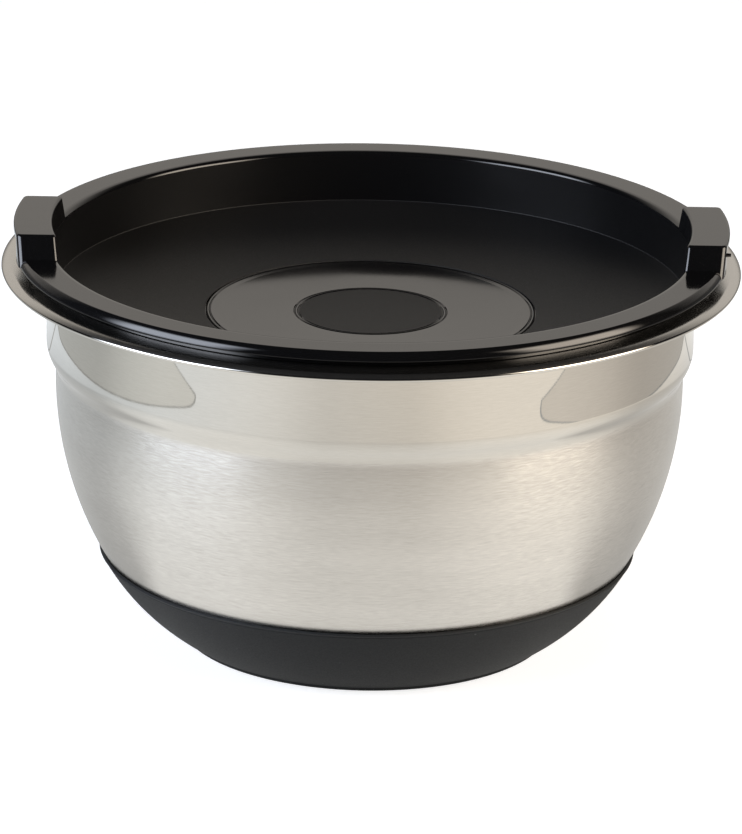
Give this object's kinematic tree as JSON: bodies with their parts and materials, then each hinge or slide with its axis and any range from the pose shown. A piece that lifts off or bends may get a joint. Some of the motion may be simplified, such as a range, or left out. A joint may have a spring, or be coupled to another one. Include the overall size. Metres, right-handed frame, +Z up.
{
  "type": "lidded mixing bowl",
  "caption": "Round steel mixing bowl with a rolled rim and a soft non-slip boot, closed by a drop-in lid with raised finger arches and a push-in centre cap.",
  "frame": {"origin": "centre of the flat underside of the boot, where the bowl stands", "axes": "+Z up along the bowl's axis; the lid's two finger arches lie on +X and -X; the picture looks along +Y"},
  "size_m": [0.2734, 0.2734, 0.1594],
  "materials": {
    "steel": "stainless steel, semi-polished upper band and fine circumferential brushing below the shoulder",
    "silicone": "matte slate-black silicone",
    "lid_plastic": "black moulded plastic, polished flange and wall, finely textured floor",
    "cap_plastic": "black moulded plastic, polished ring with a finely textured press pad"
  },
  "bodies": {
    "bowl": {"bowl_shell": "steel", "base_boot": "silicone"},
    "lid": {"lid": "lid_plastic"},
    "cap": {"centre_cap": "cap_plastic"}
  },
  "joints": [
    {"name": "lid_lift", "type": "slide", "parent": "bowl", "child": "lid", "axis": [0, 0, 1], "range_m": [0, 0.12]},
    {"name": "cap_lift", "type": "slide", "parent": "lid", "child": "cap", "axis": [0, 0, 1], "range_m": [0, 0.05]}
  ]
}
